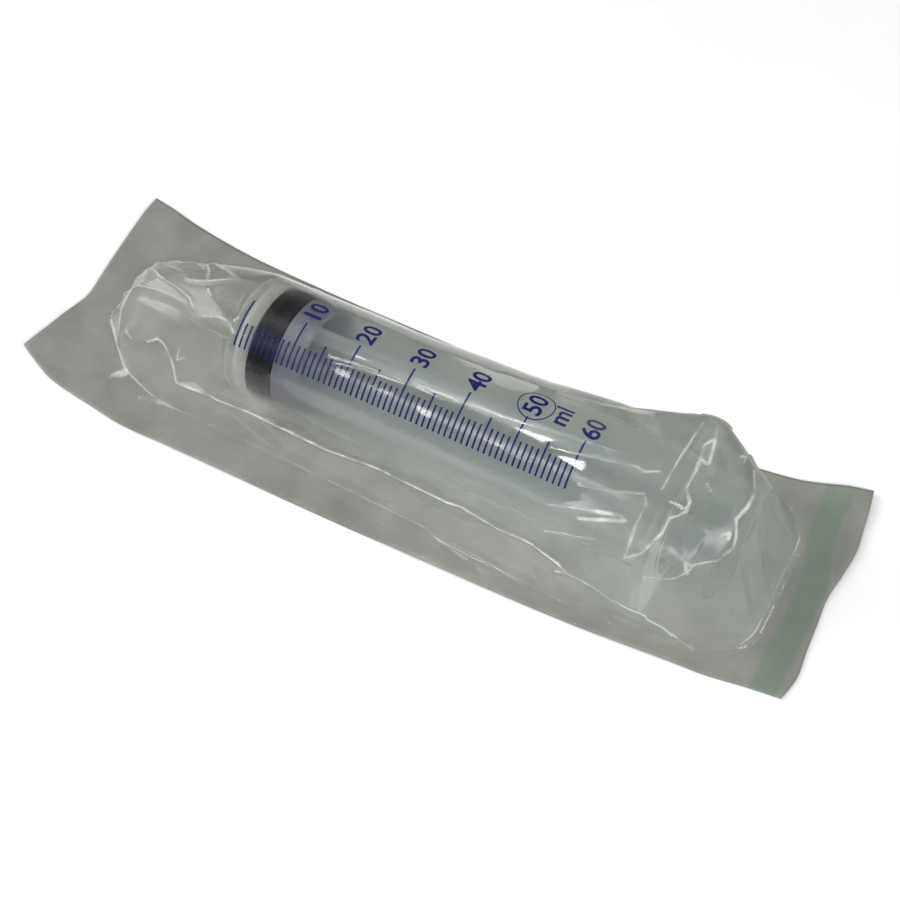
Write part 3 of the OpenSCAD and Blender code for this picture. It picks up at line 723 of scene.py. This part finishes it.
table_half = 3.0
table_z = -0.0002
table_corners = [(i * table_half, j * table_half, table_z) for i, j in ((-1, -1), (1, -1), (1, 1), (-1, 1))]
table = new_piece("table", table_corners, [(0, 1, 2, 3)])
pale = material("table_pale_laminate")
place = add(pale, "ShaderNodeTexCoord").outputs["Object"]
# Mottle of 40 mm, hardly seen
mottle = add(pale, "ShaderNodeTexNoise", {"Vector": place, "Scale": 1 / (40 * MM)}).outputs["Fac"]
shade = add(pale, "ShaderNodeMix", {0: mottle, 6: linear("#f1f1f1"), 7: linear("#f5f5f5")}, data_type="RGBA")
body = add(pale, "ShaderNodeBsdfPrincipled", {
    "Base Color": shade.outputs[2], "Roughness": 0.9, "Specular IOR Level": 0.1,
})
add(pale, "ShaderNodeOutputMaterial", {"Surface": body.outputs[0]})
dress(table, pale)


def panel(name, place, aim, width, depth, power):
    lamp = bpy.data.lights.new(name, "AREA")
    lamp.shape = "RECTANGLE"
    lamp.size, lamp.size_y, lamp.energy = width, depth, power
    holder = bpy.data.objects.new(name, lamp)
    bpy.context.scene.collection.objects.link(holder)
    holder.location = place
    holder.rotation_euler = (Vector(aim) - Vector(place)).to_track_quat("-Z", "Y").to_euler()


panel("lamp_right", (0.95, -0.5, 0.8), (0, 0, 0), 0.7, 0.7, 15)
panel("lamp_left", (-1.25, -0.25, 0.72), (0, 0, 0), 1.0, 1.0, 19)
panel("strip_near", (-0.32, -0.82, 0.97), (0.03, 0, 0), 0.2, 0.22, 1.8)
panel("strip_far", (-0.3, 1.0, 0.4), (0, 0, 0), 0.1, 0.6, 0.5)
panel("strip_over", (-0.32, 0.07, 1.15), (0, 0, 0), 0.3, 0.05, 1.5)
panel("spot_right", (0.3, 0.54, 1.03), (0, 0, 0), 0.12, 0.12, 0.5)
panel("spot_left", (-0.9, 0.48, 0.62), (0, 0, 0), 0.12, 0.12, 0.5)

world = bpy.data.worlds.new("studio")
world.use_nodes = True
world.node_tree.nodes["Background"].inputs["Color"].default_value = linear("#ffffff")
world.node_tree.nodes["Background"].inputs["Strength"].default_value = 0.12
bpy.context.scene.world = world
bpy.context.scene.view_settings.view_transform = "Standard"

# Place, aim and length of lens come from the marks of the scale in the photograph, in its pixels
picture = 900
middle_x, middle_y, lens_pixels = 508.41, 441.78, 1600.96
camera = bpy.data.objects.new("camera", bpy.data.cameras.new("camera"))
bpy.context.scene.collection.objects.link(camera)
camera.location = (0.12904, (axis_y + 5) * MM - 0.20252, 0.33567)
camera.rotation_euler = (math.radians(90 - 55.028), 0, math.radians(27.744))
camera.data.sensor_width = 36
camera.data.lens = lens_pixels / picture * camera.data.sensor_width
camera.data.shift_x = -(middle_x - picture / 2) / picture
camera.data.shift_y = (middle_y - picture / 2) / picture
camera.data.clip_start = 0.01
bpy.context.scene.camera = camera
